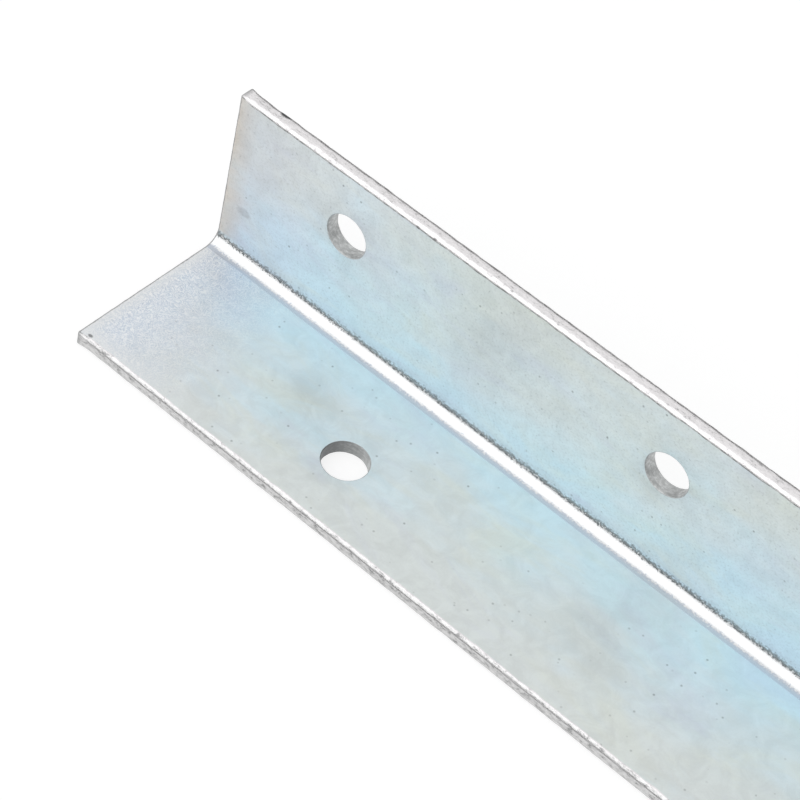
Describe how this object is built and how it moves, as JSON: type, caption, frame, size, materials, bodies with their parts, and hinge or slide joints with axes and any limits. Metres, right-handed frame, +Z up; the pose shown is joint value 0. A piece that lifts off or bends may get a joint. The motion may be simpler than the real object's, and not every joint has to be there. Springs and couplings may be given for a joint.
{
  "type": "ground anchor",
  "caption": "Zinc-plated steel angle with punched fixing holes at its square end and a cut point, driven into the ground to hold a post, edging board or frame.",
  "frame": {"origin": "middle of the part's box, at the bottom, with one leg's outer face lying on the floor", "axes": "+X along the length from the square end with the holes to the point, +Y out of the upright leg's outer face, +Z up along the upright leg"},
  "size_m": [0.5, 0.04, 0.04],
  "materials": {
    "zinc_plated_steel": "bright zinc plate with a clear blue passivate, cloudy and faintly iridescent, satin"
  },
  "bodies": {
    "root": {"angle_stake": "zinc_plated_steel"}
  },
  "joints": []
}
